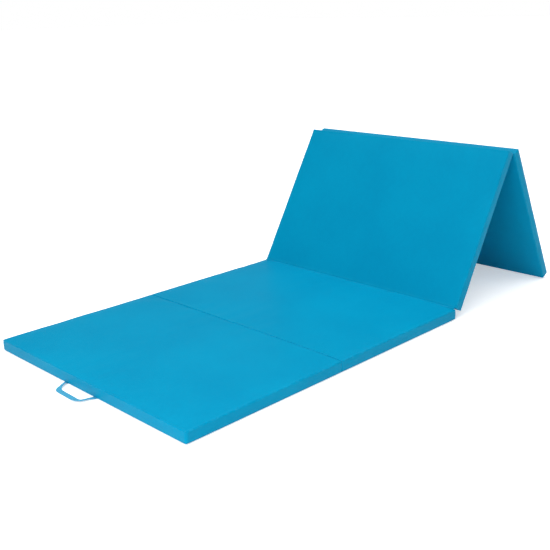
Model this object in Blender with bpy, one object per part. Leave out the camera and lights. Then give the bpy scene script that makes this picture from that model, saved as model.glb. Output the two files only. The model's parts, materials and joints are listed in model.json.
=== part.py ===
"""Folding gym mat: four foam panels in zipped vinyl covers, joined by three vinyl hinges.

The two front panels lie flat and the two rear ones stand up as a ridge tent. The hinges alternate
between the underside and the top face, so that the mat folds up like an accordion. +X runs from
the free end with the front handle to the rear, +Y to the side with the zips, and +Z up.
"""

import math

import bmesh
import bpy
from mathutils import Vector

# Driving dimensions, in metres and degrees
PANEL_PITCH = 0.762
MAT_WIDTH = 1.219
MAT_THICKNESS = 0.0508
RISE_ANGLE = 59.3
CORNER_RADIUS = 0.010
SKIN = 0.0008
CLEARANCE = 0.0003

# Hinges: the slit between two flat panels, and how far each pivot lies outside their face
HINGE_SLIT = 0.003
PIVOT_OUT = 0.001
WEB_RADIUS = 0.00185
WEB_THICKNESS = 0.0008
WEB_HALF_ANGLE = 30.0
WEB_SIDE_INSET = 0.008

# Zips, one along the +Y side of each panel
ZIP_LENGTH = 0.700
ZIP_TAPE = 0.0094
ZIP_RIDGE = 0.004
ZIP_RIDGE_OUT = 0.0012
SLIDER_LENGTH = 0.009
SLIDER_HEIGHT = 0.0076
SLIDER_WALL = 0.0014
SLIDER_OUT = 0.0026
SLIDER_PLATE_IN = 0.0016

# Carry handles: flat webbing loops sewn into the underside seam of both free ends
STRAP_WIDTH = 0.022
STRAP_THICKNESS = 0.0022
STRAP_LIFT = 0.0003
STRAP_SPAN = 0.199
STRAP_REACH = 0.062
STRAP_BEND = 0.035
STRAP_OFFSET = 0.018
FRONT_PIVOT_GAP = 0.0016
REAR_PIVOT_GAP = 0.0065
STRAP_STUB = 0.0002

ARC_STEP = math.radians(15)

# Derived places, in the mat's own plane: the first hinge line is at x = 0
PANEL_LENGTH = PANEL_PITCH - HINGE_SLIT
HALF_WIDTH = MAT_WIDTH / 2
HALF_SLIT = HINGE_SLIT / 2
RISE = math.radians(RISE_ANGLE)
INNER = SKIN + CLEARANCE


def turned(x, z, angle):
    """A point of the XZ plane turned from +X towards +Z."""
    return x * math.cos(angle) - z * math.sin(angle), x * math.sin(angle) + z * math.cos(angle)


def panel_pivots():
    """The three hinge lines as (x, z): underside, top face, underside."""
    first = (0.0, -PIVOT_OUT)
    second = (PANEL_PITCH, MAT_THICKNESS + PIVOT_OUT)
    along, up = turned(PANEL_PITCH, -MAT_THICKNESS - 2 * PIVOT_OUT, RISE)
    return first, second, (second[0] + along, second[1] + up)


def slope_to_floor():
    """The last panel's slope, at which the underside corner of its free end meets the floor."""
    reach = HALF_SLIT + PANEL_LENGTH
    height = panel_pivots()[2][1]
    return math.asin(height / math.hypot(reach, PIVOT_OUT)) + math.atan2(PIVOT_OUT, reach)


FALL = slope_to_floor()


def rear_foot():
    """The underside corner of the last panel's free end, which stands on the floor."""
    x, z = panel_pivots()[2]
    along, up = turned(HALF_SLIT + PANEL_LENGTH, PIVOT_OUT, -FALL)
    return x + along, z + up


STRAP_MIDDLE = STRAP_LIFT + STRAP_THICKNESS / 2
FRONT_PIVOT_X = -HALF_SLIT - PANEL_LENGTH - FRONT_PIVOT_GAP
REAR_PIVOT_X = rear_foot()[0] + REAR_PIVOT_GAP
STRAP_TIP = STRAP_REACH + STRAP_WIDTH / 2
MIDDLE_X = (FRONT_PIVOT_X - STRAP_TIP + REAR_PIVOT_X + STRAP_TIP) / 2
MIDDLE_Y = SLIDER_OUT / 2


def clear_scene():
    for thing in list(bpy.data.objects):
        bpy.data.objects.remove(thing, do_unlink=True)


def finish_of(name, colour, roughness, metallic=0.0):
    material = bpy.data.materials.new(name)
    material.use_nodes = True
    shader = material.node_tree.nodes["Principled BSDF"]
    shader.inputs["Base Color"].default_value = (*colour, 1.0)
    shader.inputs["Roughness"].default_value = roughness
    shader.inputs["Metallic"].default_value = metallic
    return material


def empty(name, x, z, tilt=0.0, parent=None):
    """An axis system on a hinge line. tilt turns its +X down towards the floor."""
    axis = bpy.data.objects.new(name, None)
    bpy.context.collection.objects.link(axis)
    axis.location = (x, 0.0, z)
    axis.rotation_euler = (0.0, tilt, 0.0)
    axis.parent = parent
    return axis


def object_from(name, mesh_data, material, parent, location=(0.0, 0.0, 0.0)):
    bmesh.ops.recalc_face_normals(mesh_data, faces=mesh_data.faces)
    mesh = bpy.data.meshes.new(name)
    mesh_data.to_mesh(mesh)
    mesh_data.free()
    mesh.materials.append(material)
    made = bpy.data.objects.new(name, mesh)
    bpy.context.collection.objects.link(made)
    made.parent = parent
    made.location = location
    return made


def extruded(points, direction):
    """A closed prism from an outline of 3-D points."""
    mesh_data = bmesh.new()
    base = mesh_data.faces.new([mesh_data.verts.new(p) for p in points])
    grown = bmesh.ops.extrude_face_region(mesh_data, geom=[base])
    moved = [v for v in grown["geom"] if isinstance(v, bmesh.types.BMVert)]
    bmesh.ops.translate(mesh_data, verts=moved, vec=Vector(direction))
    return mesh_data


def arc(centre, radius, start, end, step=ARC_STEP):
    """Points on a circle from one angle to another, both included."""
    count = max(2, math.ceil(abs(end - start) / step)) + 1
    angles = [start + (end - start) * i / (count - 1) for i in range(count)]
    return [(centre[0] + radius * math.cos(a), centre[1] + radius * math.sin(a)) for a in angles]


def rounded_rectangle(low, high, radius):
    """A counter-clockwise outline with four round corners."""
    quarter = math.pi / 2
    centres = (
        (high[0] - radius, high[1] - radius),
        (low[0] + radius, high[1] - radius),
        (low[0] + radius, low[1] + radius),
        (high[0] - radius, low[1] + radius),
    )
    outline = []
    for turn, centre in enumerate(centres):
        outline += arc(centre, radius, turn * quarter, (turn + 1) * quarter)
    return outline


def panel_outline(start, inset):
    low = (start + inset, -HALF_WIDTH + inset)
    high = (start + PANEL_LENGTH - inset, HALF_WIDTH - inset)
    return rounded_rectangle(low, high, CORNER_RADIUS - inset)


def slab(name, start, inset, bottom, top, material, parent):
    outline = [(x, y, bottom) for x, y in panel_outline(start, inset)]
    return object_from(name, extruded(outline, (0, 0, top - bottom)), material, parent)


def wire_cutter(name, low, high, parent):
    corners = [
        (low[0], low[1], low[2]),
        (high[0], low[1], low[2]),
        (high[0], high[1], low[2]),
        (low[0], high[1], low[2]),
    ]
    block = extruded(corners, (0, 0, high[2] - low[2]))
    cutter = bpy.data.objects.new(name, bpy.data.meshes.new(name))
    bmesh.ops.recalc_face_normals(block, faces=block.faces)
    block.to_mesh(cutter.data)
    block.free()
    bpy.context.collection.objects.link(cutter)
    cutter.parent = parent
    cutter.hide_render = True
    cutter.display_type = "WIRE"
    return cutter


def side_band(name, start, bottom, material, parent, slot):
    """The cover's side wall, a ring with a slot for the zip."""
    low, high = bottom + INNER, bottom + MAT_THICKNESS - INNER
    mesh_data = bmesh.new()
    loops = [
        [mesh_data.verts.new((x, y, z)) for x, y in panel_outline(start, inset)]
        for inset, z in ((0.0, low), (0.0, high), (SKIN, high), (SKIN, low))
    ]
    for loop, following in zip(loops, loops[1:] + loops[:1]):
        for i in range(len(loop)):
            j = (i + 1) % len(loop)
            mesh_data.faces.new((loop[i], loop[j], following[j], following[i]))
    band = object_from(name, mesh_data, material, parent)
    cut = band.modifiers.new("zip slot", "BOOLEAN")
    cut.operation = "DIFFERENCE"
    cut.solver = "EXACT"
    cut.object = slot
    return band


def zip_chain(name, first, middle, material, parent):
    """Zip tape in the side band's slot, with the ridge that the closed teeth make."""
    tape, ridge = ZIP_TAPE / 2, ZIP_RIDGE / 2
    face, back, crest = HALF_WIDTH, HALF_WIDTH - SKIN, HALF_WIDTH + ZIP_RIDGE_OUT
    section = (
        (back, -tape),
        (face, -tape),
        (face, -ridge),
        (crest, -ridge),
        (crest, ridge),
        (face, ridge),
        (face, tape),
        (back, tape),
    )
    outline = [(first, y, middle + z) for y, z in section]
    return object_from(name, extruded(outline, (ZIP_LENGTH, 0, 0)), material, parent)


def zip_slider(name, centre, middle, material, parent):
    """A channel that straddles the ridge. Its origin is on the ridge at its own middle."""
    outer, inner = SLIDER_HEIGHT / 2, SLIDER_HEIGHT / 2 - SLIDER_WALL
    section = (
        (CLEARANCE, -outer),
        (SLIDER_OUT, -outer),
        (SLIDER_OUT, outer),
        (CLEARANCE, outer),
        (CLEARANCE, inner),
        (SLIDER_PLATE_IN, inner),
        (SLIDER_PLATE_IN, -inner),
        (CLEARANCE, -inner),
    )
    outline = [(-SLIDER_LENGTH / 2, y, z) for y, z in section]
    shape = extruded(outline, (SLIDER_LENGTH, 0, 0))
    return object_from(name, shape, material, parent, (centre, HALF_WIDTH, middle))


def panel(number, axis, start, bottom, parked_low, finishes):
    """One panel in the axes of its hinge: foam, two face sheets, side band and zip."""
    zip_start = start + (PANEL_LENGTH - ZIP_LENGTH) / 2
    middle = bottom + MAT_THICKNESS / 2
    top = bottom + MAT_THICKNESS
    slot = wire_cutter(
        f"slot_cutter_{number}",
        (zip_start - CLEARANCE, HALF_WIDTH - 2 * SKIN, middle - ZIP_TAPE / 2 - CLEARANCE),
        (zip_start + ZIP_LENGTH + CLEARANCE, HALF_WIDTH + SKIN, middle + ZIP_TAPE / 2 + CLEARANCE),
        axis,
    )
    slab(f"foam_core_{number}", start, INNER, bottom + INNER, top - INNER, finishes["foam"], axis)
    slab(f"cover_bottom_{number}", start, 0.0, bottom, bottom + SKIN, finishes["vinyl"], axis)
    slab(f"cover_top_{number}", start, 0.0, top - SKIN, top, finishes["vinyl"], axis)
    side_band(f"cover_side_band_{number}", start, bottom, finishes["vinyl"], axis, slot)
    zip_chain(f"zip_chain_{number}", zip_start, middle, finishes["zip"], axis)
    parked = SLIDER_LENGTH / 2
    place = zip_start + (parked if parked_low else ZIP_LENGTH - parked)
    zip_slider(f"zip_slider_{number}", place, middle, finishes["slider"], axis)


def hinge_web(name, axis, on_top, opening, material):
    """The strip of vinyl that two panels fold on, curved round its hinge line as far as it is open."""
    from_angle = -math.pi / 2 - math.radians(WEB_HALF_ANGLE)
    to_angle = -math.pi / 2 + math.radians(WEB_HALF_ANGLE) + opening
    half = WEB_THICKNESS / 2
    outer = arc((0, 0), WEB_RADIUS + half, from_angle, to_angle)
    inner = arc((0, 0), WEB_RADIUS - half, to_angle, from_angle)
    flip = 1 if on_top else -1
    width = MAT_WIDTH - 2 * WEB_SIDE_INSET
    outline = [(x, -width / 2, flip * z) for x, z in outer + inner]
    return object_from(name, extruded(outline, (0, width, 0)), material, axis)


def loop_side(offset):
    """One long edge of the handle loop, offset outwards from its centre line. +X is outwards."""
    half, bend = STRAP_SPAN / 2, STRAP_BEND
    near = arc((STRAP_REACH - bend, -half + bend), bend + offset, -math.pi / 2, 0)
    far = arc((STRAP_REACH - bend, half - bend), bend + offset, 0, math.pi / 2)
    return [(-STRAP_STUB, -half - offset)] + near + far + [(-STRAP_STUB, half + offset)]


def carry_handle(name, axis, outwards, material):
    """A flat webbing loop that swings on the seam it is sewn into."""
    edge = STRAP_WIDTH / 2
    outline = loop_side(edge) + loop_side(-edge)[::-1]
    flat = [(outwards * x, y + STRAP_OFFSET, -STRAP_THICKNESS / 2) for x, y in outline]
    return object_from(name, extruded(flat, (0, 0, STRAP_THICKNESS)), material, axis)


def build():
    clear_scene()
    finishes = {
        "vinyl": finish_of("vinyl", (0.0, 0.33, 0.60), 0.42),
        "foam": finish_of("foam", (0.86, 0.85, 0.80), 0.9),
        "zip": finish_of("zip_tape", (0.0, 0.20, 0.42), 0.6),
        "slider": finish_of("slider_metal", (0.55, 0.56, 0.58), 0.35, 1.0),
        "webbing": finish_of("webbing", (0.03, 0.40, 0.66), 0.55),
    }
    first, second, third = panel_pivots()
    mat = empty("mat", -MIDDLE_X, 0.0)
    mat.location.y = -MIDDLE_Y
    axis_12 = empty("axis_fold_12", *first, parent=mat)
    axis_base = empty("axis_panel_2", *first, parent=mat)
    axis_23 = empty("axis_fold_23", *second, tilt=-RISE, parent=mat)
    axis_34 = empty("axis_fold_34", *third, tilt=FALL, parent=mat)
    on_floor = PIVOT_OUT
    hung = -PIVOT_OUT - MAT_THICKNESS
    panel(1, axis_12, -HALF_SLIT - PANEL_LENGTH, on_floor, True, finishes)
    panel(2, axis_base, HALF_SLIT, on_floor, False, finishes)
    panel(3, axis_23, HALF_SLIT, hung, True, finishes)
    panel(4, axis_34, HALF_SLIT, on_floor, False, finishes)

    web_23_axis = empty("axis_web_23", *second, parent=mat)
    web_34_axis = empty("axis_web_34", *third, tilt=-RISE, parent=mat)
    hinge_web("hinge_web_12", axis_base, False, 0.0, finishes["vinyl"])
    hinge_web("hinge_web_23", web_23_axis, True, RISE, finishes["vinyl"])
    hinge_web("hinge_web_34", web_34_axis, False, RISE + FALL, finishes["vinyl"])

    front_axis = empty("axis_handle_front", FRONT_PIVOT_X, STRAP_MIDDLE, parent=mat)
    rear_axis = empty("axis_handle_rear", REAR_PIVOT_X, STRAP_MIDDLE, parent=mat)
    carry_handle("handle_front", front_axis, -1, finishes["webbing"])
    carry_handle("handle_rear", rear_axis, 1, finishes["webbing"])


build()
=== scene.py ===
"""Looks of the folding gym mat: padded vinyl covers, sewn hinges, webbing handles and zips.

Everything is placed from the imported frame. Each panel is modelled in its own flat axes, +X along
the mat, +Y across it and +Z out of its top face, and is then carried to where it stands at rest.
"""

import json
import math

import bmesh
import bpy
import numpy as np
from mathutils import Matrix, Vector


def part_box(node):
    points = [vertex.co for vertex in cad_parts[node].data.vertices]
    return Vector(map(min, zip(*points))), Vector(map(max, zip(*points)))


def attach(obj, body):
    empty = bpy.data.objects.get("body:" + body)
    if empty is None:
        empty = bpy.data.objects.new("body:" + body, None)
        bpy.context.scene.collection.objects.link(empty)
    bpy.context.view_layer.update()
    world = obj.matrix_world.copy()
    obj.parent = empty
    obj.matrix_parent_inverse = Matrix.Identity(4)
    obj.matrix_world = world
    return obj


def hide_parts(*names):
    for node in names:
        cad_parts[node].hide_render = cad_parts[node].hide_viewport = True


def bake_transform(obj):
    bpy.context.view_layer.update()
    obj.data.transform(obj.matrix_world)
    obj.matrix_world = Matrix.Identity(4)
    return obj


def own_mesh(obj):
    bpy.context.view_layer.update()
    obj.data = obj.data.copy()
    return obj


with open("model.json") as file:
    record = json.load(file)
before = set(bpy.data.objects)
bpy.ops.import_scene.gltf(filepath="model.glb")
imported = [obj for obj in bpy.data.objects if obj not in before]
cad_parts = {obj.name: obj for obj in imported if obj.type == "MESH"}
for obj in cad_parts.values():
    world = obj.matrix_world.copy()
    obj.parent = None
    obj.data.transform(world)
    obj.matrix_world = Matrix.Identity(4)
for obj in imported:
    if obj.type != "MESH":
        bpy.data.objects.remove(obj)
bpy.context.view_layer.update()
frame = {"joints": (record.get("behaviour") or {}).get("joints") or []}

MM = 0.001
JOINTS = {joint["name"]: joint for joint in frame["joints"]}

# The panels' size and the slits between them, from the frame
LOW_2, HIGH_2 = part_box("cover_bottom_2")
LENGTH = HIGH_2.x - LOW_2.x
WIDTH = HIGH_2.y - LOW_2.y
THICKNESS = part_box("cover_top_2")[1].z - LOW_2.z
MIDDLE_Y = (HIGH_2.y + LOW_2.y) / 2
SLIT = LOW_2.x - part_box("cover_bottom_1")[1].x
PIVOT_OUT = LOW_2.z - JOINTS["fold_12"]["pos_m"][2]
RISE = math.radians(-JOINTS["fold_23"]["range_deg"][0])
FALL = math.radians(-JOINTS["fold_34"]["range_deg"][0]) - RISE
HALF = Vector((LENGTH / 2, WIDTH / 2, THICKNESS / 2))

# Camera
CAMERA_PLACE = (-2.6698, -2.6315, 1.3599)
CAMERA_YAW = math.radians(44.73)
CAMERA_PITCH = math.radians(-15.80)
CAMERA_ROLL = math.radians(-1.42)
CAMERA_FOCAL = 859.6 / 550
CAMERA_SHIFT = (-20.3 / 550, -26.4 / 550)
SENSOR = 36.0

# Studio light, as radiances
WHITE = (1.0, 1.0, 1.0, 1.0)
ZENITH = 3.0
ZENITH_FOCUS = 4.0
SKY_FLOOR = 0.03
HORIZON_BAND = 0.45
HORIZON_HEIGHT = 0.26
FLOOR_GLOW = 0.10
FLOOR_SEEN_GLOW = 0.45
FLOOR_HEIGHT = -0.0011
FLOOR_REACH = 60
FLOOR_COLOUR = (0.93, 0.93, 0.93, 1.0)
FILL_POWER = 50
FILL_SIZE = 2.5
FILL_PLACE = (-3.2, -1.6, 1.65)
FILL_TARGET = (0.55, 0.0, 0.35)

# Colours
VINYL_DARK = (0.0, 0.275, 0.485)
VINYL_LIGHT = (0.0, 0.305, 0.520)
VINYL_SCUFF = (0.05, 0.37, 0.58)
# Painted shade: the vinyl's colour darkened in the crease along each seam
VINYL_CREASE_SHADE = (0.0, 0.17, 0.36)
WEBBING_DARK = (0.01, 0.25, 0.45)
WEBBING_LIGHT = (0.08, 0.45, 0.68)
VINYL_SPECULAR = 0.045

# The vinyl's relief, how far in from a seam its wear goes, and how far the painted shade in a seam's
# crease reaches
GRAIN_DEPTH = 0.28 * MM
PUCKER_DEPTH = 1.1 * MM
PUCKER_WIDTH = 14 * MM
SCUFF_WIDTH = 5 * MM
CREASE_SHADE_WIDTH = 1.2 * MM

# How the covers are cut and filled
EDGE_STEPS = np.array([0.0, 0.8, 1.8, 3.2, 5.0, 7.5, 11.0, 16.0, 23.0]) * MM
CELL = 13 * MM
BAND_LEVELS = np.array([24.6, 23.6, 22.2, 20.4, 17.9, 14.4, 9.5, 6.4, 5.2]) * MM
BAND_LEVELS = np.concatenate([BAND_LEVELS, -BAND_LEVELS[::-1]])
FOAM_STEPS = np.array([0.0, 2.5, 5.0, 9.0, 16.0, 30.0]) * MM
FOAM_LEVELS = np.array([22.9, 20.4, 12.0, 0.0, -12.0, -20.4, -22.9]) * MM
FOAM_CELL = 50 * MM
FOAM_GAP = 2.2 * MM
FREE_CORNER = 10 * MM
JOINT_CORNER = 4 * MM

# These differ between the panels' sides, at +Y and -Y, and their ends, at +X and -X, which mostly meet
# another panel
EDGE_ROUND = {"sides": 6.0 * MM, "ends": 2.2 * MM}
SEAM_INSET = {"sides": 1.6 * MM, "ends": 0.1 * MM}
BAND_BULGE = {"sides": 1.6 * MM, "ends": 1.45 * MM}

SEAM_GROOVE = 0.4 * MM
CROWN = 0.7 * MM
PILLOW_DROP = 4.5 * MM
PILLOW_WIDTH = 42 * MM
PILLOW_SHARE = {"free": 1.0, "slit": 0.14, "hinge": 0.12, "floor": 0.3}
SLACK_END_SHARE = 0.5
SLACK_END_LENGTH = 0.20

# The radius of each panel's corners in plan at -X and at +X
CORNERS = {1: (FREE_CORNER, JOINT_CORNER), 2: (JOINT_CORNER, JOINT_CORNER),
           3: (JOINT_CORNER, JOINT_CORNER), 4: (JOINT_CORNER, FREE_CORNER)}

# The edges of each panel's faces at -X, at +X and along both sides
EDGE_KINDS = {
    1: {"top": ("free", "slit", "free"), "bottom": ("floor", "hinge", "floor")},
    2: {"top": ("slit", "hinge", "free"), "bottom": ("hinge", "floor", "floor")},
    3: {"top": ("hinge", "free", "free"), "bottom": ("free", "hinge", "free")},
    4: {"top": ("free", "free", "free"), "bottom": ("hinge", "free", "free")},
}

# The cloth simulation of the covers
CLOTH_FRAMES = 20
CLOTH_QUALITY = 4
CLOTH_MASS = 0.35
CLOTH_STRETCH = 40
CLOTH_SHEAR = 20
CLOTH_BENDING = 60.0
SPARE_VINYL = 0.003
FILLING_HOLD = 0.35
FILLING_STIFFNESS = 1.0
FILLING_PRESSURE = 1.0
RIPPLE_CAP = 0.9 * MM
RIPPLE_MIDDLE = 0.25
RIPPLE_WIDTH = 70 * MM
RIPPLE_UNDERNEATH = 0.25
RIPPLE_SMOOTHING = 6

# Hinge strips, as heights over the line that the panels fold on
STRIP_HALF = 9.0 * MM
STRIP_BEND = 2.5 * MM
STRIP_TOP = -0.15 * MM
STRIP_EDGE_DIP = 0.35 * MM
STRIP_THICKNESS = 0.8 * MM
STRIP_SIDE_INSET = 8.0 * MM
# How far from the fold each line of a strip's points is, in millimetres, and the step between its rows
STRIP_LINES = (9.0, 8.7, 7.8, 6.6, 5.4, 4.2, 3.2, 2.5, 2.0, 1.5, 1.0, 0.5)
STRIP_ROW_STEP = 9 * MM
STRIP_RIM_CUT = 0.3 * MM
STITCH_ROW = 6.4 * MM
STITCH_END_GAP = 4 * MM
STITCH_PITCH = 4.6 * MM
STITCH_LENGTH = 3.5 * MM
THREAD_RADIUS = 0.32 * MM

# Zips
ZIP_GROOVE_HALF = 6.0 * MM
ZIP_GROOVE_DEPTH = 1.6 * MM
ZIP_HALF_LENGTH = (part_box("zip_chain_2")[1].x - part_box("zip_chain_2")[0].x) / 2
TAPE_COLUMNS = 141
TAPE_HALF = 5.1 * MM
TAPE_FACE = -0.45 * MM
TAPE_THICKNESS = 0.7 * MM
TOOTH_PITCH = 2.5 * MM
TOOTH_WIDTH = 1.1 * MM
TOOTH_REACH = 1.9 * MM
TOOTH_OVERLAP = 0.7 * MM
TOOTH_OUT = 1.0 * MM
PULL_LENGTH = 19 * MM
BEAD_OUT = 0.25 * MM
BEAD_FOOT = 2.4 * MM
BEAD_TOP = 1.8 * MM
STOP_HALF = Vector((1.1, 0.0, 2.6)) * MM
STOP_OUT = 1.3 * MM
STOP_INSET = 1.8 * MM
BRIDGE_HALF_WIDTH = 0.7 * MM
BRIDGE_HALF_THICKNESS = 0.3 * MM

# Handles, in the axes of a loop that reaches out along +X
STRAP_WIDTH = 22 * MM
STRAP_THICKNESS = 2.4 * MM
STRAP_TURN = 20 * MM
STRAP_STEP = 2.5 * MM
FAR_LEG_INSET = 2 * MM
FAR_TURN_PLACE = (56 * MM, 66 * MM)
NEAR_TURN_PLACE = (59 * MM, -82 * MM)
FRONT_TWISTS = (math.radians(-24), math.radians(14))
REAR_TWISTS = (0.0, 0.0)

# Where along the strap each leg's twist comes in and goes out, and where its ends turn square to the
# seam, as shares of its length
TWIST_SPANS = (((0.0, 0.06), (0.12, 0.30)), ((0.62, 0.78), (0.88, 1.0)))
SQUARE_ENDS = ((0.0, 0.10), (0.90, 1.0))
TAPER_THINNEST = 0.25
STRAP_TAPER = 3 * MM
TONGUE_LENGTH = 9 * MM
TONGUE_SPARE_WIDTH = 2 * MM
TONGUE_SPARE_THICKNESS = 0.3 * MM
TONGUE_TIP = 1.5 * MM
TONGUE_TIP_SIZE = 0.3
TONGUE_GAP = 0.3 * MM
TACK_ROWS = (-4.2 * MM, -2.2 * MM)
TACK_LENGTH = 2.6 * MM


# Places

def pivot(name):
    x, _, z = JOINTS[name]["pos_m"]
    return Vector((x, MIDDLE_Y, z))


def panel_places():
    """Where each panel's own axes, from the middle of its block, stand at rest."""
    reach = SLIT / 2 + HALF.x
    out = PIVOT_OUT + HALF.z
    middle = pivot("fold_12").x
    risen = Matrix.Translation(pivot("fold_23")) @ Matrix.Rotation(-RISE, 4, "Y")
    fallen = Matrix.Translation(pivot("fold_34")) @ Matrix.Rotation(FALL, 4, "Y")
    return {
        1: Matrix.Translation((middle - reach, MIDDLE_Y, HALF.z)),
        2: Matrix.Translation((middle + reach, MIDDLE_Y, HALF.z)),
        3: risen @ Matrix.Translation((reach, 0, -out)),
        4: fallen @ Matrix.Translation((reach, 0, out)),
    }


PLACES = panel_places()


# Camera, floor and light

def add_camera():
    data = bpy.data.cameras.new("camera")
    data.sensor_width = SENSOR
    data.lens = CAMERA_FOCAL * SENSOR
    data.shift_x, data.shift_y = CAMERA_SHIFT
    camera = bpy.data.objects.new("camera", data)
    bpy.context.collection.objects.link(camera)
    flat = math.cos(CAMERA_PITCH)
    forward = Vector((flat * math.cos(CAMERA_YAW), flat * math.sin(CAMERA_YAW), math.sin(CAMERA_PITCH)))
    level = forward.cross(Vector((0, 0, 1))).normalized()
    upright = level.cross(forward)
    right = level * math.cos(CAMERA_ROLL) + upright * math.sin(CAMERA_ROLL)
    up = upright * math.cos(CAMERA_ROLL) - level * math.sin(CAMERA_ROLL)
    turn = Matrix((right, up, -forward)).transposed()
    camera.matrix_world = Matrix.Translation(CAMERA_PLACE) @ turn.to_4x4()
    bpy.context.scene.camera = camera


def mesh_object(name, points, faces, material=None, smooth=True):
    mesh = bpy.data.meshes.new(name)
    mesh.from_pydata([tuple(p) for p in points], [], [tuple(int(i) for i in f) for f in faces])
    made = bpy.data.objects.new(name, mesh)
    bpy.context.collection.objects.link(made)
    if material:
        mesh.materials.append(material)
    if smooth:
        mesh.shade_smooth()
    return made


class Nodes:
    """A short way to write a node tree: each call adds a node, sets its values and links its inputs.

    An input goes by its name, or by i and its index, such as i0."""

    def __init__(self, tree):
        self.tree = tree

    def add(self, kind, settings=None, **inputs):
        node = self.tree.nodes.new(kind)
        for name, value in (settings or {}).items():
            setattr(node, name, value)
        for name, value in inputs.items():
            self.put(node, name.replace("_", " "), value)
        return node

    def put(self, node, name, value):
        by_index = name[0] == "i" and name[1:].isdigit()
        socket = node.inputs[int(name[1:]) if by_index else name]
        if isinstance(value, bpy.types.NodeSocket):
            self.tree.links.new(value, socket)
        else:
            socket.default_value = value

    def math(self, operation, *values):
        node = self.tree.nodes.new("ShaderNodeMath")
        node.operation = operation
        for i, value in enumerate(values):
            self.put(node, f"i{i}", value)
        return node.outputs[0]

    def ramp(self, value, low, high, out_low=0.0, out_high=1.0):
        node = self.tree.nodes.new("ShaderNodeMapRange")
        node.interpolation_type = "SMOOTHSTEP"
        for i, v in enumerate((value, low, high, out_low, out_high)):
            self.put(node, f"i{i}", v)
        return node.outputs[0]


def add_world():
    world = bpy.data.worlds.new("studio")
    bpy.context.scene.world = world
    world.use_nodes = True
    world.node_tree.nodes.clear()
    n = Nodes(world.node_tree)
    place = n.add("ShaderNodeTexCoord").outputs["Generated"]
    height = n.add("ShaderNodeSeparateXYZ", i0=place).outputs["Z"]
    height = n.math("MAXIMUM", height, 0.0)
    overhead = n.math("MULTIPLY", n.math("POWER", height, ZENITH_FOCUS), ZENITH)
    band = n.ramp(height, 0.0, HORIZON_HEIGHT, HORIZON_BAND, 0.0)
    strength = n.math("ADD", n.math("ADD", overhead, band), SKY_FLOOR)
    light = n.add("ShaderNodeBackground", Color=WHITE, Strength=strength)
    seen = n.add("ShaderNodeBackground", Color=WHITE, Strength=1.0)
    is_seen = n.add("ShaderNodeLightPath").outputs["Is Camera Ray"]
    both = n.add("ShaderNodeMixShader", i0=is_seen, i1=light.outputs[0], i2=seen.outputs[0])
    n.add("ShaderNodeOutputWorld", Surface=both.outputs[0])


def add_fill_light():
    """A soft round light in front of the mat, for its near half and the raised panel's face."""
    data = bpy.data.lights.new("fill", "AREA")
    data.shape = "DISK"
    data.size = FILL_SIZE
    data.energy = FILL_POWER
    light = bpy.data.objects.new("fill", data)
    bpy.context.collection.objects.link(light)
    light.location = FILL_PLACE
    aim = Vector(FILL_TARGET) - Vector(FILL_PLACE)
    light.rotation_euler = aim.to_track_quat("-Z", "Y").to_euler()


def add_floor():
    """The white floor. It glows a little more to the camera, which keeps the shadows on it pale."""
    finish, n, shader = material_nodes("floor")
    is_seen = n.add("ShaderNodeLightPath").outputs["Is Camera Ray"]
    n.put(shader, "Base Color", FLOOR_COLOUR)
    n.put(shader, "Roughness", 1.0)
    n.put(shader, "Specular IOR Level", 0.0)
    n.put(shader, "Emission Color", WHITE)
    n.put(shader, "Emission Strength", n.ramp(is_seen, 0.0, 1.0, FLOOR_GLOW, FLOOR_SEEN_GLOW))
    reach = FLOOR_REACH
    corners = [(-reach, -reach, 0), (reach, -reach, 0), (reach, reach, 0), (-reach, reach, 0)]
    floor = mesh_object("floor", corners, [(0, 1, 2, 3)], finish, smooth=False)
    floor.location.z = FLOOR_HEIGHT


# The covers' shape

def lines_across(half, steps, cell):
    """Grid lines from -half to half, close together near both ends."""
    inner = half - steps[-1]
    count = max(2, round(2 * inner / cell))
    middle = np.linspace(-inner, inner, count + 1)
    return np.concatenate([-half + steps[:-1], middle, half - steps[:-1][::-1]])


def round_plan_corners(x, y, corners):
    """Moves grid points near a corner of the plan onto circles, so that the outline is rounded."""
    radius = np.where(x < 0, *corners)
    u = np.clip((np.abs(x) - (HALF.x - radius)) / radius, 0, 1)
    v = np.clip((np.abs(y) - (HALF.y - radius)) / radius, 0, 1)
    both = (u > 0) & (v > 0)
    x_new = np.sign(x) * (HALF.x - radius + radius * u * np.sqrt(1 - v**2 / 2))
    y_new = np.sign(y) * (HALF.y - radius + radius * v * np.sqrt(1 - u**2 / 2))
    return np.where(both, x_new, x), np.where(both, y_new, y)


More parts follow.
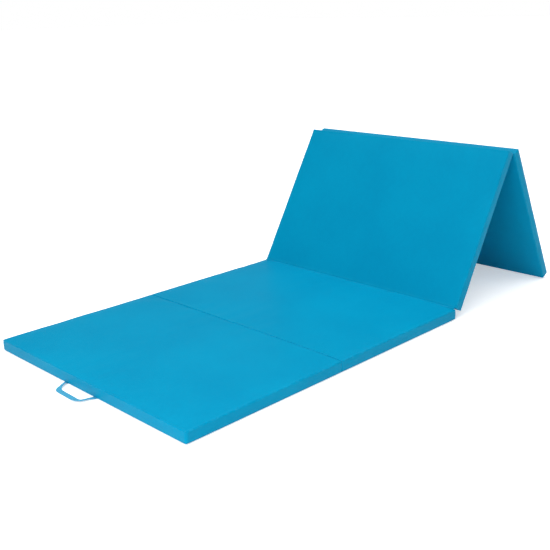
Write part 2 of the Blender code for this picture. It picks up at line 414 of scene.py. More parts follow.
class BlockGrid:
    """The closed grid of a panel's block: a top sheet, a bottom sheet and a band between their rims.

    steps are the first gaps in from an edge, cell the spacing further in, levels the heights of the
    band's loops, and corners the radii at -X and at +X. on_face marks the sheets' points, seam_points
    are those on the two rims, and inside and outward are each point's distance inside the rounded
    outline and the way out of it there."""

    def __init__(self, steps, cell, levels, corners):
        lines = [lines_across(half, steps, cell) for half in (HALF.x, HALF.y)]
        grid = np.meshgrid(*lines, indexing="ij")
        plan = np.stack([p.ravel() for p in round_plan_corners(*grid, corners)], 1)
        count = len(plan)
        index = np.arange(count).reshape(grid[0].shape)
        rim = np.concatenate([index[:-1, 0], index[-1, :-1], index[:0:-1, -1], index[0, :0:-1]])
        sheets = [np.c_[plan, np.full(count, z)] for z in (HALF.z, -HALF.z)]
        band = [np.c_[plan[rim], np.full(len(rim), z)] for z in levels]
        self.points = np.vstack(sheets + band)
        quads = np.stack([index[:-1, :-1], index[1:, :-1], index[1:, 1:], index[:-1, 1:]], -1)
        quads = quads.reshape(-1, 4)
        loops = [rim] + [2 * count + i * len(rim) + np.arange(len(rim)) for i in range(len(levels))]
        loops = np.array(loops + [rim + count])
        after = np.roll(loops, -1, axis=1)
        walls = np.stack([loops[:-1], loops[1:], after[1:], after[:-1]], -1).reshape(-1, 4)
        self.faces = np.vstack([quads, quads[:, ::-1] + count, walls])
        self.on_face = np.arange(len(self.points)) < 2 * count
        self.seam_points = np.concatenate([rim, rim + count])
        self.inside, self.outward = outline_of(self.points, corners)


def outline_of(points, corners):
    """Each point's distance inside the plan's rounded outline, and the way out of it there."""
    rounding = np.where(points[:, 0] < 0, *corners)
    over = np.abs(points[:, :2]) - (np.array(HALF[:2]) - rounding[:, None])
    signs = np.sign(points[:, :2])
    in_corner = (over > 0).all(1)
    radius = np.linalg.norm(np.maximum(over, 0), axis=1)
    distance = rounding - np.where(in_corner, radius, over.max(1))
    outward = np.eye(2)[over.argmax(1)] * signs
    corner_way = np.maximum(over, 0) / np.maximum(radius, 1e-9)[:, None] * signs
    return distance, np.where(in_corner[:, None], corner_way, outward)


def by_direction(values, outward):
    """A value that is one thing at the panel's ends and another along its sides."""
    share = outward[:, 0] ** 2
    return values["ends"] * share + values["sides"] * (1 - share)


def fill_drop(points, edges):
    """How far the faces fall short of the crown near their edges."""
    x, y, z = points.T
    total = np.ones(len(points))
    for face, sign in (("top", 1), ("bottom", -1)):
        low, high, sides = edges[face]
        near = 1.0
        for kind, distance in ((low, HALF.x + x), (high, HALF.x - x), (sides, HALF.y - np.abs(y))):
            share = PILLOW_SHARE[kind]
            if kind == "slit":
                share = share + SLACK_END_SHARE * np.exp(-(HALF.y - y) / SLACK_END_LENGTH)
            near = near * (1 - share * np.exp(-distance / PILLOW_WIDTH))
        total = np.where(np.sign(z) == sign, near, total)
    return PILLOW_DROP * (1 - total)


def filled_shape(grid, edges):
    """The grid's block with rounded edges, a crowned top and bottom, and sides that stand out between
    the seams."""
    points, distance, outward = grid.points, grid.inside, grid.outward
    height = HALF.z - np.abs(points[:, 2])
    radius = by_direction(EDGE_ROUND, outward)
    travel = np.where(grid.on_face, distance, -height)
    angle = math.pi / 4 * (1 + np.clip(travel / radius, -1, 1))
    past_side = np.where(grid.on_face, np.clip(distance - radius, 0, None), 0)
    past_face = np.where(grid.on_face, 0, np.clip(height - radius, 0, None))
    inset = radius * (1 - np.cos(angle)) + past_side
    drop = radius * (1 - np.sin(angle)) + past_face
    bulge = by_direction(BAND_BULGE, outward) * (1 - ((HALF.z - drop) / HALF.z) ** 2)
    near_side = np.exp(-inset / EDGE_ROUND["sides"])
    shift = distance - inset - (by_direction(SEAM_INSET, outward) - bulge) * near_side
    moved = points.copy()
    moved[:, :2] += outward * shift[:, None]
    toward_face = (HALF.z - drop) / HALF.z
    fill = (CROWN - fill_drop(points, edges)) * toward_face
    moved[:, 2] = np.sign(points[:, 2]) * (HALF.z - drop + fill)
    seam = grid.seam_points
    moved[seam, :2] -= outward[seam] * SEAM_GROOVE
    moved[seam, 2] -= np.sign(points[seam, 2]) * SEAM_GROOVE
    return moved


def carry_attribute(mesh, name, kind, values):
    field = "vector" if kind == "FLOAT_VECTOR" else "value"
    attribute = mesh.attributes.new(name, kind, "POINT")
    attribute.data.foreach_set(field, np.ravel(values).astype(np.float32))


def zip_groove(points, grid):
    """How deep the band of the +Y side is pushed in to hold the zip."""
    on_side = ~grid.on_face & (points[:, 1] > HALF.y - 1 * MM)
    inside = (np.abs(points[:, 2]) < ZIP_GROOVE_HALF) & (np.abs(points[:, 0]) < ZIP_HALF_LENGTH)
    return np.where(on_side & inside, ZIP_GROOVE_DEPTH, 0.0)


def simulated(points, grid):
    """Lets cloth pinned at its seams take up a little spare vinyl over the filling, and returns how far
    each point moved, within the limits that the filling allows."""
    scene = bpy.context.scene
    trial = mesh_object("cloth_trial", points, grid.faces)
    hold = trial.vertex_groups.new(name="hold")
    hold.add([int(i) for i in range(len(points))], FILLING_HOLD, "REPLACE")
    hold.add([int(i) for i in grid.seam_points], 1.0, "REPLACE")
    cloth = trial.modifiers.new("cloth", "CLOTH")
    settings = cloth.settings
    settings.quality = CLOTH_QUALITY
    settings.mass = CLOTH_MASS
    settings.tension_stiffness = settings.compression_stiffness = CLOTH_STRETCH
    settings.shear_stiffness = CLOTH_SHEAR
    settings.bending_stiffness = CLOTH_BENDING
    settings.vertex_group_mass = "hold"
    settings.pin_stiffness = FILLING_STIFFNESS
    settings.shrink_min = -SPARE_VINYL
    settings.use_pressure = True
    settings.uniform_pressure_force = FILLING_PRESSURE
    settings.effector_weights.gravity = 0
    cloth.point_cache.frame_start = 1
    cloth.point_cache.frame_end = CLOTH_FRAMES
    for step in range(1, CLOTH_FRAMES + 1):
        scene.frame_set(step)
    evaluated = trial.evaluated_get(bpy.context.evaluated_depsgraph_get())
    after = np.empty(len(points) * 3, np.float32)
    evaluated.data.vertices.foreach_get("co", after)
    bpy.data.objects.remove(trial)
    scene.frame_set(1)
    return after.reshape(-1, 3) - points


def outward_moves(moves, grid):
    """How far each point moved out of its own face, and the way out."""
    flat = np.zeros(len(moves))
    up = np.c_[flat, flat, np.sign(grid.points[:, 2])]
    way = np.where(grid.on_face[:, None], up, np.c_[grid.outward, flat])
    return (moves * way).sum(1), way


def add_cover(number, grid, edges, material, ripples):
    points = filled_shape(grid, edges)
    from_seam = np.where(grid.on_face, grid.inside, HALF.z - np.abs(grid.points[:, 2]))
    points = points + ripples
    points[:, 1] -= zip_groove(grid.points, grid)
    cover = mesh_object(f"panel_cover_{number}", points, grid.faces, material)
    carry_attribute(cover.data, "lay", "FLOAT_VECTOR", points)
    carry_attribute(cover.data, "from_seam", "FLOAT", from_seam)
    cover.data.transform(PLACES[number])
    finer = cover.modifiers.new("finer", "SUBSURF")
    finer.levels = finer.render_levels = 1
    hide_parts(f"cover_top_{number}", f"cover_bottom_{number}", f"cover_side_band_{number}")
    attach(cover, f"panel_{number}")


def add_foam(number, grid, edges, material):
    """The foam block, which follows the inside of its cover with a small gap."""
    points = filled_shape(grid, edges)
    shrink = 1 - FOAM_GAP / np.array(HALF)
    core = mesh_object(f"foam_block_{number}", points * shrink, grid.faces, material)
    core.data.transform(PLACES[number])
    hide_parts(f"foam_core_{number}")
    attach(core, f"panel_{number}")


# Sewn and swept pieces

def solid_faces_out(made):
    """Turns every face of a closed piece outwards."""
    work = bmesh.new()
    work.from_mesh(made.data)
    bmesh.ops.recalc_face_normals(work, faces=work.faces)
    work.to_mesh(made.data)
    work.free()
    return made


def swept(name, sections, material):
    """A closed solid through equal rings of points, with flat ends."""
    rings, ring = len(sections), len(sections[0])
    index = np.arange(rings * ring).reshape(rings, ring)
    after = np.roll(index, -1, axis=1)
    faces = np.stack([index[:-1], after[:-1], after[1:], index[1:]], -1).reshape(-1, 4).tolist()
    faces += [index[0].tolist(), index[-1][::-1].tolist()]
    made = mesh_object(name, np.reshape(sections, (-1, 3)), faces, material)
    return solid_faces_out(made)


def add_stitches(name, middles, way, up, length, material):
    """Short rounded threads, each lying along way and standing a little proud along up."""
    across = np.cross(up, way)
    ring = np.linspace(0, 2 * math.pi, 6, endpoint=False)
    circle = np.outer(np.cos(ring), across) + np.outer(np.sin(ring), up)
    # Each ring of a thread: its place as a share of the length, and its size and height in radii
    stations = ((-0.5, 0.35, -0.5), (-0.38, 1.0, 0.0), (0.38, 1.0, 0.0), (0.5, 0.35, -0.5))
    one = np.vstack([
        np.array(way) * length * at + (np.array(up) * sunk + circle * size) * THREAD_RADIUS
        for at, size, sunk in stations
    ])
    points = (np.array(middles)[:, None, :] + one[None]).reshape(-1, 3)
    faces = []
    for i in range(len(middles)):
        base = i * len(one)
        for j in range(len(stations) - 1):
            for k in range(6):
                a, b = base + 6 * j + k, base + 6 * j + (k + 1) % 6
                faces.append((a, b, b + 6, a + 6))
        faces.append(tuple(base + k for k in range(6)))
        faces.append(tuple(base + 6 * (len(stations) - 1) + k for k in range(6)))
    return solid_faces_out(mesh_object(name, points, faces, material))


# Hinges

class Hinge:
    """One fold line: where it is, the way from panel a to panel b while flat, the way out of the faces
    that the strip lies on, and how far b has turned towards that way at rest."""

    def __init__(self, a, b, along, out, turn):
        self.a, self.b = a, b
        self.place = np.array(pivot(f"fold_{a}{b}"))
        self.along, self.out, self.turn = np.array(along), np.array(out), turn

    def at(self, s, y, h):
        """The rest position of the point that is s across the fold line and h above it while flat."""
        t = min(max((s + STRIP_BEND) / (2 * STRIP_BEND), 0), 1)
        angle = self.turn * t * t * (3 - 2 * t)
        along = s * math.cos(angle) - h * math.sin(angle)
        up = s * math.sin(angle) + h * math.cos(angle)
        return self.place + self.along * along + self.out * up + np.array((0.0, y, 0.0))

    def frame_on(self, side):
        """The way out of the strip on one of its sides."""
        angle = self.turn if side > 0 else 0.0
        return self.out * math.cos(angle) - self.along * math.sin(angle)


def strip_height(s):
    return STRIP_TOP - STRIP_EDGE_DIP * (abs(s) / STRIP_HALF) ** 2


def add_hinge_strip(hinge, material, thread):
    across = [-s * MM for s in STRIP_LINES] + [0.0] + [s * MM for s in reversed(STRIP_LINES)]
    upper_heights = [strip_height(s) for s in across]
    upper_heights[0] -= STRIP_RIM_CUT
    upper_heights[-1] -= STRIP_RIM_CUT
    half = WIDTH / 2 - STRIP_SIDE_INSET
    rows = np.linspace(-half, half, round(2 * half / STRIP_ROW_STEP) + 1)
    sections = []
    for y in rows:
        upper = [hinge.at(s, y, height) for s, height in zip(across, upper_heights)]
        lower = [hinge.at(s, y, strip_height(s) - STRIP_THICKNESS) for s in reversed(across)]
        sections.append(upper + lower)
    name = f"hinge_strip_{hinge.a}{hinge.b}"
    strip = swept(name, sections, material)
    carry_attribute(strip.data, "lay", "FLOAT_VECTOR", np.reshape(sections, (-1, 3)))
    carry_attribute(strip.data, "from_seam", "FLOAT", np.full(len(strip.data.vertices), 1.0))
    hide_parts(f"hinge_web_{hinge.a}{hinge.b}")
    middle = strip_height(0) - STRIP_THICKNESS / 2
    tuple(hinge.at(-STRIP_BEND, 0, middle))
    tuple(hinge.at(STRIP_BEND, 0, middle))
    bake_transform(strip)
    count = int(2 * (half - STITCH_END_GAP) / STITCH_PITCH)
    places = [(i - (count - 1) / 2) * STITCH_PITCH for i in range(count)]
    for side, panel in ((-1, hinge.a), (1, hinge.b)):
        s = side * STITCH_ROW
        middles = [hinge.at(s, y, strip_height(s)) for y in places]
        row = add_stitches(f"hinge_stitches_{hinge.a}{hinge.b}_panel_{panel}", middles,
                           (0.0, 1.0, 0.0), hinge.frame_on(side), STITCH_LENGTH, thread)
        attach(row, f"panel_{panel}")


# Handles

def rounded_path(corners, radius, step):
    """A route through corner points, with each corner cut by a curve, at even steps."""
    corners = [np.array(c, float) for c in corners]
    points = [corners[0]]
    for before, corner, after in zip(corners, corners[1:], corners[2:]):
        into = corner - radius * (corner - before) / np.linalg.norm(corner - before)
        out = corner + radius * (after - corner) / np.linalg.norm(after - corner)
        for t in np.linspace(0, 1, 12):
            points.append((1 - t) ** 2 * into + 2 * t * (1 - t) * corner + t**2 * out)
    points.append(corners[-1])
    points = np.array(points)
    run = np.concatenate([[0], np.cumsum(np.linalg.norm(np.diff(points, axis=0), axis=1))])
    places = np.linspace(0, run[-1], round(run[-1] / step) + 1)
    return np.stack([np.interp(places, run, points[:, i]) for i in range(points.shape[1])], 1), places


def smooth_step(value, low, high):
    t = np.clip((value - low) / (high - low), 0, 1)
    return t * t * (3 - 2 * t)


def webbing_section(width, thickness):
    """The cross-section of a strap, flat with round edges, as (across, up) pairs."""
    half, edge = width / 2, thickness / 2
    flat = np.linspace(-(half - edge), half - edge, 9)
    turn = np.linspace(-math.pi / 2, math.pi / 2, 7)[1:-1]
    right = [(half - edge + edge * math.cos(a), edge * math.sin(a)) for a in turn]
    lower = [(a, -edge) for a in flat]
    upper = [(a, edge) for a in flat[::-1]]
    left = [(-(half - edge) - edge * math.cos(a), -edge * math.sin(a)) for a in turn]
    return np.array(lower + right + upper + left)


def add_handle(name, panel, outwards, twists, material, thread):
    """A webbing loop that lies on the floor. twists are how far its first and last legs are turned up
    out of the seam."""
    low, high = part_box(name)
    hinge = JOINTS[f"{name}_swing"]["pos_m"]
    middle_y = (low.y + high.y) / 2
    span = (high.y - low.y - STRAP_WIDTH) / 2
    corners = [(0.0, span - FAR_LEG_INSET), FAR_TURN_PLACE, NEAR_TURN_PLACE, (0.0, -span)]
    route, run = rounded_path(corners, STRAP_TURN, STRAP_STEP)
    share = run / run[-1]
    tangent = np.gradient(route, axis=0)
    tangent /= np.linalg.norm(tangent, axis=1)[:, None]
    twist = sum(
        angle * smooth_step(share, *rise) * (1 - smooth_step(share, *fall))
        for angle, (rise, fall) in zip(twists, TWIST_SPANS)
    )
    lift = np.abs(np.sin(twist)) * STRAP_WIDTH / 2 + STRAP_THICKNESS / 2 * (np.cos(twist) - 1)
    section = webbing_section(STRAP_WIDTH, STRAP_THICKNESS)
    square = np.maximum(1 - smooth_step(share, *SQUARE_ENDS[0]), smooth_step(share, *SQUARE_ENDS[1]))
    sides = np.stack([-tangent[:, 1], tangent[:, 0]], 1) * (1 - square)[:, None]
    sides[:, 1] += np.sign(tangent[:, 0]) * square
    sides /= np.linalg.norm(sides, axis=1)[:, None]
    from_end = np.minimum(run, run[-1] - run)
    taper = TAPER_THINNEST + (1 - TAPER_THINNEST) * np.clip(from_end / STRAP_TAPER, 0, 1)
    sections, lay = [], []
    for (x, y), across, angle, up, along, size in zip(route, sides, twist, lift, run, taper):
        side = np.array((*across, 0.0))
        wide = side * math.cos(angle) + np.array((0.0, 0.0, math.sin(angle)))
        thick = -side * math.sin(angle) + np.array((0.0, 0.0, math.cos(angle)))
        centre = np.array((x, y, up))
        ring = [centre + wide * a + thick * b * size for a, b in section]
        sections.append([(hinge[0] + outwards * p[0], middle_y + p[1], hinge[2] + p[2]) for p in ring])
        lay.append([(along, a, b) for a, b in section])
    strap = swept(f"{name}_strap", sections, material)
    carry_attribute(strap.data, "lay", "FLOAT_VECTOR", lay)
    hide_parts(name)
    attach(strap, f"{panel[1]}")
    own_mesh(strap)
    for end, y in (("a", corners[0][1]), ("b", corners[-1][1])):
        place = np.array((hinge[0], middle_y + y, hinge[2]))
        add_tongue(f"{name}_tongue_{end}", panel[0], place, outwards, material, thread)


def add_tongue(name, body, place, outwards, material, thread):
    """The sewn-in end of a strap: it comes out from under the seam as far as the line the strap
    swings on."""
    stations = np.append(np.linspace(-TONGUE_LENGTH, -TONGUE_TIP, 5), -TONGUE_GAP)
    section = webbing_section(STRAP_WIDTH + TONGUE_SPARE_WIDTH, STRAP_THICKNESS + TONGUE_SPARE_THICKNESS)
    sections, lay = [], []
    for x in stations:
        size = TONGUE_TIP_SIZE if x == stations[-1] else 1.0
        sections.append([place + (outwards * x, a, b * size) for a, b in section])
        lay.append([(x, a, b) for a, b in section])
    tongue = swept(name, sections, material)
    carry_attribute(tongue.data, "lay", "FLOAT_VECTOR", lay)
    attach(tongue, body)
    spots = [
        place + (outwards * x, y, STRAP_THICKNESS / 2 + 0.15 * MM)
        for x in TACK_ROWS
        for y in np.linspace(-9, 9, 7) * MM
    ]
    tack = add_stitches(f"{name}_tack", spots, (0.0, 1.0, 0.0), (0.0, 0.0, 1.0), TACK_LENGTH, thread)
    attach(tack, body)


# Zips

def boxes(name, blocks, material):
    """Many small blocks with a narrower face at +Y, each given by its low and high corners."""
    points, faces = [], []
    quads = ((0, 3, 2, 1), (0, 1, 5, 4), (1, 2, 6, 5), (2, 3, 7, 6), (3, 0, 4, 7),
             (4, 5, 9, 8), (5, 6, 10, 9), (6, 7, 11, 10), (7, 4, 8, 11), (8, 9, 10, 11))
    for low, high in blocks:
        trim = 0.25 * min(high[0] - low[0], high[2] - low[2])
        shoulder = high[1] - trim
        base = len(points)
        for y, inset in ((low[1], 0.0), (shoulder, 0.0), (high[1], trim)):
            points += [(low[0] + inset, y, low[2] + inset), (high[0] - inset, y, low[2] + inset),
                       (high[0] - inset, y, high[2] - inset), (low[0] + inset, y, high[2] - inset)]
        faces += [tuple(base + i for i in quad) for quad in quads]
    return solid_faces_out(mesh_object(name, points, faces, material, smooth=False))


def add_zip(number, parked_low, tape_finish, tooth_finish, metal_finish):
    face = HALF.y
    columns = np.linspace(-ZIP_HALF_LENGTH, ZIP_HALF_LENGTH, TAPE_COLUMNS)
    back, front = face + TAPE_FACE - TAPE_THICKNESS, face + TAPE_FACE
    bead = front + BEAD_OUT
    section = [(back, -TAPE_HALF), (front, -TAPE_HALF), (front, -BEAD_FOOT), (bead, -BEAD_TOP),
               (bead, BEAD_TOP), (front, BEAD_FOOT), (front, TAPE_HALF), (back, TAPE_HALF)]
    tape = swept(f"zip_tape_{number}", [[(x, y, z) for y, z in section] for x in columns], tape_finish)
    lay = [[(x, z, y) for y, z in section] for x in columns]
    carry_attribute(tape.data, "lay", "FLOAT_VECTOR", lay)
    teeth = []
    for i in range(int(2 * ZIP_HALF_LENGTH / (TOOTH_PITCH / 2)) - 4):
        x = -ZIP_HALF_LENGTH + (i + 3) * TOOTH_PITCH / 2
        side = 1 if i % 2 else -1
        z = sorted((side * TOOTH_REACH, -side * TOOTH_OVERLAP))
        low = (x - TOOTH_WIDTH / 2, front, z[0])
        teeth.append((low, (x + TOOTH_WIDTH / 2, face + TOOTH_OUT, z[1])))
    chain = boxes(f"zip_teeth_{number}", teeth, tooth_finish)
    for piece in (tape, chain):
        piece.data.transform(PLACES[number])
        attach(piece, f"panel_{number}")
    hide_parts(f"zip_chain_{number}")
    clamps = [
        ((x - STOP_HALF.x, front, -STOP_HALF.z), (x + STOP_HALF.x, face + STOP_OUT, STOP_HALF.z))
        for x in (-ZIP_HALF_LENGTH + STOP_INSET, ZIP_HALF_LENGTH - STOP_INSET)
    ]
    stops = boxes(f"zip_stops_{number}", clamps, metal_finish)
    stops.data.transform(PLACES[number])
    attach(stops, f"panel_{number}")
    add_slider(number, parked_low, metal_finish)


def plate(name, outline, thickness, bevel, material):
    """A flat plate with bevelled edges, out from y = 0 to its thickness. Its outline is (x, z) points."""
    work = bmesh.new()
    face = work.faces.new([work.verts.new((x, 0.0, z)) for x, z in outline])
    grown = bmesh.ops.extrude_face_region(work, geom=[face])
    moved = [v for v in grown["geom"] if isinstance(v, bmesh.types.BMVert)]
    bmesh.ops.translate(work, verts=moved, vec=(0.0, thickness, 0.0))
    bmesh.ops.recalc_face_normals(work, faces=work.faces)
    rims = [e for e in work.edges if abs(e.verts[0].co.y - e.verts[1].co.y) < 1e-9]
    bmesh.ops.bevel(work, geom=rims, offset=bevel, segments=2, affect="EDGES", profile=0.6)
    mesh = bpy.data.meshes.new(name)
    work.to_mesh(mesh)
    work.free()
    mesh.materials.append(material)
    made = bpy.data.objects.new(name, mesh)
    bpy.context.collection.objects.link(made)
    mesh.shade_smooth()
    mesh.set_sharp_from_angle(angle=math.radians(35))
    return made


def round_outline(corners, radius, steps=5):
    """A closed outline with its corners rounded."""
    outline = []
    count = len(corners)
    for i in range(count):
        before, corner, after = (Vector(corners[(i + k) % count]) for k in (-1, 0, 1))
        into = corner + (before - corner).normalized() * radius
        out = corner + (after - corner).normalized() * radius
        for k in range(steps + 1):
            t = k / steps
            outline.append(tuple((1 - t) ** 2 * into + 2 * t * (1 - t) * corner + t**2 * out))
    return outline


def add_slider(number, parked_low, material):
    """The slider straddles the teeth, with a bridge over it and a pull that hangs from the bridge."""
    low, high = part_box(f"zip_slider_{number}")
    middle = PLACES[number].inverted() @ ((low + high) / 2)
    ahead = 1 if parked_low else -1
    shield = [(4.5, -3.2), (4.5, 3.2), (-1.0, 3.6), (-4.5, 2.3), (-4.5, -2.3), (-1.0, -3.6)]
    outline = round_outline([(ahead * x * MM, z * MM) for x, z in shield], 1.1 * MM)
    top = plate(f"zip_slider_body_{number}", outline, 1.1 * MM, 0.3 * MM, material)
    top.data.transform(Matrix.Translation((middle.x, HALF.y + 1.25 * MM, middle.z)))
    flanges = []
    for side in (-1, 1):
        z = sorted((side * 2.3 * MM, side * 3.5 * MM))
        flanges.append(((-3.4 * MM, 0.1 * MM, z[0]), (3.4 * MM, 1.5 * MM, z[1])))
    walls = boxes(f"zip_slider_walls_{number}", flanges, material)
    walls.data.transform(Matrix.Translation((middle.x, HALF.y, middle.z)))
    wide, thick = BRIDGE_HALF_WIDTH, BRIDGE_HALF_THICKNESS
    bar = ((-thick, -wide), (thick, -wide), (thick, wide), (-thick, wide))
    arch = []
    for angle in np.linspace(0, math.pi, 9):
        x, y = ahead * 2.6 * MM * math.cos(angle), 1.9 * MM + 1.6 * MM * math.sin(angle)
        way = np.array((-ahead * math.sin(angle), math.cos(angle) * 0.6))
        way = way / np.linalg.norm(way)
        normal = np.array((-way[1], way[0]))
        arch.append([
            (middle.x + x + normal[0] * a, HALF.y + y + normal[1] * a, middle.z + b) for a, b in bar
        ])
    bridge = swept(f"zip_slider_bridge_{number}", arch, material)
    near, far = 0.8 * MM, 0.8 * MM + PULL_LENGTH
    neck = near + 6 * MM
    tab = [(near, -1.6), (near, 1.6), (neck, 2.0), (far, 3.0), (far, -3.0), (neck, -2.0)]
    tab = round_outline([(-ahead * x, z * MM) for x, z in tab], 1.2 * MM)
    pull = plate(f"zip_pull_{number}", tab, 0.9 * MM, 0.25 * MM, material)
    pull.data.transform(Matrix.Translation((middle.x, HALF.y + 2.5 * MM, middle.z)))
    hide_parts(f"zip_slider_{number}")
    for piece in (top, walls, bridge, pull):
        piece.data.transform(PLACES[number])
        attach(piece, f"slider_{number}")


# Materials

def material_nodes(name):
    material = bpy.data.materials.new(name)
    material.use_nodes = True
    n = Nodes(material.node_tree)
    return material, n, material.node_tree.nodes["Principled BSDF"]


def blended(n, share, low, high):
    """A mix of two colours, of which low may be a socket."""
    mix = n.add("ShaderNodeMix", {"data_type": "RGBA"})
    n.put(mix, "i0", share)
    n.put(mix, "i6", low if isinstance(low, bpy.types.NodeSocket) else (*low, 1.0))
    n.put(mix, "i7", (*high, 1.0))
    return mix.outputs[2]


def noise_at(n, place, scale, detail=2.0, roughness=0.5):
    node = n.add("ShaderNodeTexNoise", Vector=place, Scale=scale, Detail=detail, Roughness=roughness)
    return node.outputs["Fac"]


def bump(n, height, distance, strength=1.0, below=None):
    node = n.add("ShaderNodeBump", Strength=strength, Distance=distance, Height=height)
    if below is not None:
        n.put(node, "Normal", below)
    return node.outputs["Normal"]


def vinyl():
    """Vinyl-coated fabric: a leather grain, soft patches of tone, scuffed, puckered seams, and painted
    shade that darkens the crease along each seam.
    """
    material, n, shader = material_nodes("vinyl")
    place = n.add("ShaderNodeAttribute", {"attribute_name": "lay"}).outputs["Vector"]
    seam = n.add("ShaderNodeAttribute", {"attribute_name": "from_seam"}).outputs["Fac"]
    patches = noise_at(n, place, 3.0, 3.0)
    mottle = noise_at(n, place, 60.0, 4.0, 0.6)
    tone = n.math("MULTIPLY_ADD", mottle, 0.35, n.math("MULTIPLY", patches, 0.65))
    colour = blended(n, n.ramp(tone, 0.3, 0.7), VINYL_DARK, VINYL_LIGHT)
    worn = n.ramp(noise_at(n, place, 90.0, 3.0), 0.48, 0.72)
    scuff = n.math("MULTIPLY", n.ramp(seam, 0.0, SCUFF_WIDTH, 1.0, 0.0), worn)
    colour = blended(n, n.math("MULTIPLY", scuff, 0.35), colour, VINYL_SCUFF)
    # Painted shade: the colour darkens close to each seam, where shade falls in its crease
    crease_shade = n.ramp(seam, 0.0, CREASE_SHADE_WIDTH, 0.45, 0.0)
    colour = blended(n, crease_shade, colour, VINYL_CREASE_SHADE)
    n.put(shader, "Base Color", colour)
    n.put(shader, "Roughness", n.math("MULTIPLY_ADD", patches, 0.10, 0.26))
    n.put(shader, "Specular IOR Level", VINYL_SPECULAR)
    pebbles = n.add("ShaderNodeTexVoronoi", {"feature": "SMOOTH_F1"}, Vector=place, Scale=480.0,
                    Smoothness=0.5)
    grain = n.math("MULTIPLY_ADD", noise_at(n, place, 1500.0, 2.0), 0.4, pebbles.outputs["Distance"])
    near_seam = n.ramp(seam, 0.5 * MM, PUCKER_WIDTH, 1.0, 0.0)
    pucker = bump(n, n.math("MULTIPLY", noise_at(n, place, 75.0, 1.5), near_seam), PUCKER_DEPTH)
    n.put(shader, "Normal", bump(n, grain, GRAIN_DEPTH, 0.8, pucker))
    return material


def foam():
    """Closed-cell foam: pale, dry, with fine bubbles."""
    material, n, shader = material_nodes("foam")
    place = n.add("ShaderNodeTexCoord").outputs["Object"]
    cells = n.add("ShaderNodeTexVoronoi", Vector=place, Scale=420.0).outputs["Distance"]
    tone = noise_at(n, place, 14.0, 4.0)
    n.put(shader, "Base Color", blended(n, tone, (0.74, 0.73, 0.68), (0.86, 0.85, 0.80)))
    n.put(shader, "Roughness", n.ramp(cells, 0.0, 1.0, 0.8, 0.95))
    n.put(shader, "Normal", bump(n, cells, 0.5 * MM, 0.8))
    return material


def woven(name, dark, light, pitch, roughness):
    """Webbing or tape: ribs across it, in bands that are half a rib out of step, with a worn nap."""
    material, n, shader = material_nodes(name)
    place = n.add("ShaderNodeAttribute", {"attribute_name": "lay"}).outputs["Vector"]
    parts = n.add("ShaderNodeSeparateXYZ", i0=place)
    along, across = parts.outputs["X"], parts.outputs["Y"]
    band = n.math("DIVIDE", across, pitch)
    step = n.math("MULTIPLY", n.math("MODULO", n.math("ADD", n.math("FLOOR", band), 1000.0), 2.0), 0.5)
    turns = n.math("ADD", n.math("DIVIDE", along, pitch), step)
    rib = n.math("SINE", n.math("MULTIPLY", turns, 2 * math.pi))
    yarn = n.math("ABSOLUTE", n.math("SINE", n.math("MULTIPLY", band, math.pi)))
    weave = n.math("MULTIPLY_ADD", rib, 0.5, n.math("MULTIPLY", yarn, 0.5))
    nap = noise_at(n, place, 900.0, 3.0)
    shade = n.math("MULTIPLY_ADD", nap, 0.5, n.math("MULTIPLY", n.ramp(weave, -0.5, 1.0), 0.5))
    n.put(shader, "Base Color", blended(n, shade, dark, light))
    n.put(shader, "Roughness", roughness)
    n.put(shader, "Specular IOR Level", 0.25)
    n.put(shader, "Sheen Weight", 0.25)
    n.put(shader, "Sheen Roughness", 0.4)
    n.put(shader, "Sheen Tint", (0.55, 0.8, 1.0, 1.0))
    fuzz = bump(n, nap, 0.12 * MM, 0.5)
    n.put(shader, "Normal", bump(n, weave, 0.22 * MM, 0.9, fuzz))
    return material


def thread():
    """Twisted polyester thread."""
    material, n, shader = material_nodes("thread")
    place = n.add("ShaderNodeTexCoord").outputs["Object"]
    wave = n.add("ShaderNodeTexWave", {"bands_direction": "DIAGONAL"}, Vector=place, Scale=900.0,
                 Distortion=1.0)
    ply = wave.outputs["Fac"]
    n.put(shader, "Base Color", blended(n, ply, (0.0, 0.20, 0.36), (0.01, 0.29, 0.49)))
    n.put(shader, "Roughness", 0.5)
    n.put(shader, "Specular IOR Level", 0.3)
    n.put(shader, "Normal", bump(n, ply, 0.06 * MM, 0.8))
    return material


def moulded_teeth():
    """Moulded zip teeth, glossy with rubbed crests."""
    material, n, shader = material_nodes("zip_teeth")
    place = n.add("ShaderNodeTexCoord").outputs["Object"]
    tone = noise_at(n, place, 240.0, 3.0)
    n.put(shader, "Base Color", blended(n, tone, (0.0, 0.15, 0.30), (0.01, 0.21, 0.38)))
    n.put(shader, "Roughness", n.ramp(noise_at(n, place, 500.0, 2.0), 0.3, 0.7, 0.28, 0.5))
    n.put(shader, "Normal", bump(n, noise_at(n, place, 1400.0, 2.0), 0.05 * MM, 0.5))
    return material


def painted_metal():
    """The slider's blue enamel, chipped back to bright metal in small spots."""
    material, n, shader = material_nodes("slider_enamel")
    place = n.add("ShaderNodeTexCoord").outputs["Object"]
    chips = n.ramp(noise_at(n, place, 420.0, 5.0, 0.65), 0.66, 0.72)
    n.put(shader, "Base Color", blended(n, chips, (0.01, 0.17, 0.33), (0.62, 0.62, 0.60)))
    n.put(shader, "Metallic", chips)
    n.put(shader, "Roughness", n.ramp(noise_at(n, place, 160.0, 3.0), 0.3, 0.7, 0.22, 0.42))
    n.put(shader, "Normal", bump(n, chips, 0.05 * MM, 0.6))
    return material


# Making everything

def evened(values, faces, rounds):
    """Values at the points of a grid of quads, each averaged with its neighbours a few times over."""
    edges = np.vstack([faces[:, [i, (i + 1) % 4]] for i in range(4)])
    edges = np.unique(np.sort(edges, axis=1), axis=0)
    ends = np.concatenate([edges, edges[:, ::-1]])
    count = np.bincount(ends[:, 0], minlength=len(values))
    for _ in range(rounds):
        values = (values + np.bincount(ends[:, 0], values[ends[:, 1]], len(values)) / count) / 2
    return values


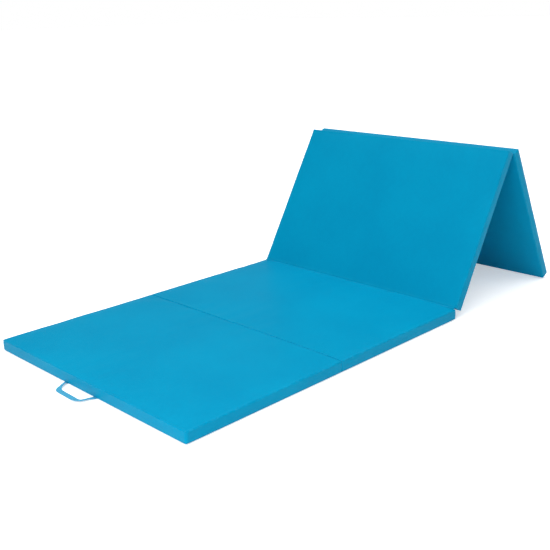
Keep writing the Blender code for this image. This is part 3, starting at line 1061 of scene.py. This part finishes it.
def cover_ripples(grid, edges):
    """They are strongest near the seams and faint underneath, and there are none on the end faces."""
    base = filled_shape(grid, edges)
    out, way = outward_moves(simulated(base, grid), grid)
    out = evened(np.clip(out, -RIPPLE_CAP, RIPPLE_CAP), grid.faces, RIPPLE_SMOOTHING)
    out[grid.seam_points] = 0.0
    share = RIPPLE_MIDDLE + (1 - RIPPLE_MIDDLE) * np.exp(-np.clip(grid.inside, 0, None) / RIPPLE_WIDTH)
    share = share * np.where(grid.on_face & (grid.points[:, 2] < 0), RIPPLE_UNDERNEATH, 1.0)
    share = share * np.where(grid.on_face, 1.0, 1 - grid.outward[:, 0] ** 2)
    return way * (out * share)[:, None]


def build():
    scene = bpy.context.scene
    scene.view_settings.view_transform = "Standard"
    add_camera()
    add_floor()
    add_world()
    add_fill_light()
    vinyl_finish, foam_finish, thread_finish = vinyl(), foam(), thread()
    webbing = woven("webbing", WEBBING_DARK, WEBBING_LIGHT, 1.7 * MM, 0.62)
    tape = woven("zip_tape", (0.0, 0.16, 0.33), (0.0, 0.24, 0.46), 0.9 * MM, 0.7)
    teeth, metal = moulded_teeth(), painted_metal()
    for number, edges in EDGE_KINDS.items():
        grid = BlockGrid(EDGE_STEPS, CELL, BAND_LEVELS, CORNERS[number])
        foam_grid = BlockGrid(FOAM_STEPS, FOAM_CELL, FOAM_LEVELS, CORNERS[number])
        add_cover(number, grid, edges, vinyl_finish, cover_ripples(grid, edges))
        add_foam(number, foam_grid, edges, foam_finish)
        add_zip(number, number in (1, 3), tape, teeth, metal)
    ahead, up = (1.0, 0.0, 0.0), (0.0, 0.0, 1.0)
    down = (0.0, 0.0, -1.0)
    risen = (math.cos(RISE), 0.0, math.sin(RISE))
    under = (math.sin(RISE), 0.0, -math.cos(RISE))
    for hinge in (
        Hinge(1, 2, ahead, down, 0.0),
        Hinge(2, 3, ahead, up, RISE),
        Hinge(3, 4, risen, under, RISE + FALL),
    ):
        add_hinge_strip(hinge, vinyl_finish, thread_finish)
    add_handle("handle_front", ("panel_1", "front_handle"), -1, FRONT_TWISTS, webbing, thread_finish)
    add_handle("handle_rear", ("panel_4", "rear_handle"), 1, REAR_TWISTS, webbing, thread_finish)


build()
